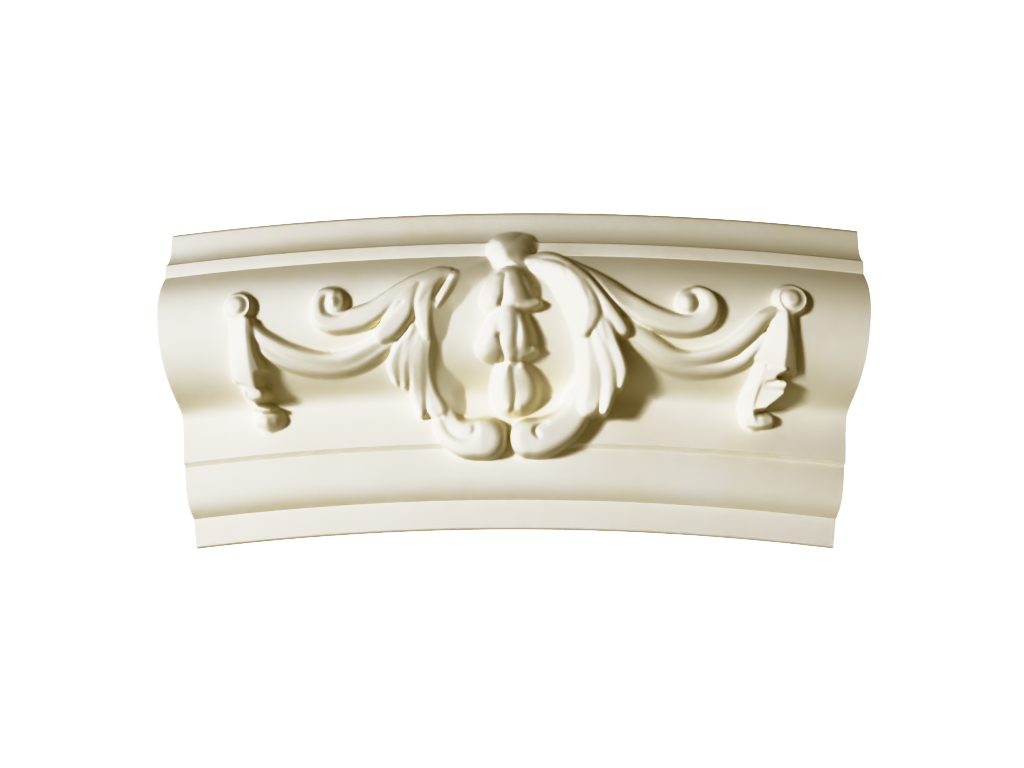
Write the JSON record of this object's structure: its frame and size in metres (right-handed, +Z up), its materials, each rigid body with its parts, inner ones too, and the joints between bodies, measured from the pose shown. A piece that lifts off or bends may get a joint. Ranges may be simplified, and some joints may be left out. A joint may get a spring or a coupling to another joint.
{
  "type": "curved moulding",
  "caption": "Short curved length of cast wall moulding with a swelling face, stepped edges, and a raised leaf, scroll, bell flower and swag ornament.",
  "frame": {"origin": "middle of the flat back: half way between the two ends and half way down the face there", "axes": "+X along the length to the right, seen from the front; +Y into the wall; +Z up, away from the centre of the ring"},
  "size_m": [0.3268, 0.0537, 0.1587],
  "materials": {
    "ivory_primer": "smooth factory primer, matt to eggshell, ivory white"
  },
  "bodies": {
    "root": {"curved_moulding": "ivory_primer"}
  },
  "joints": []
}
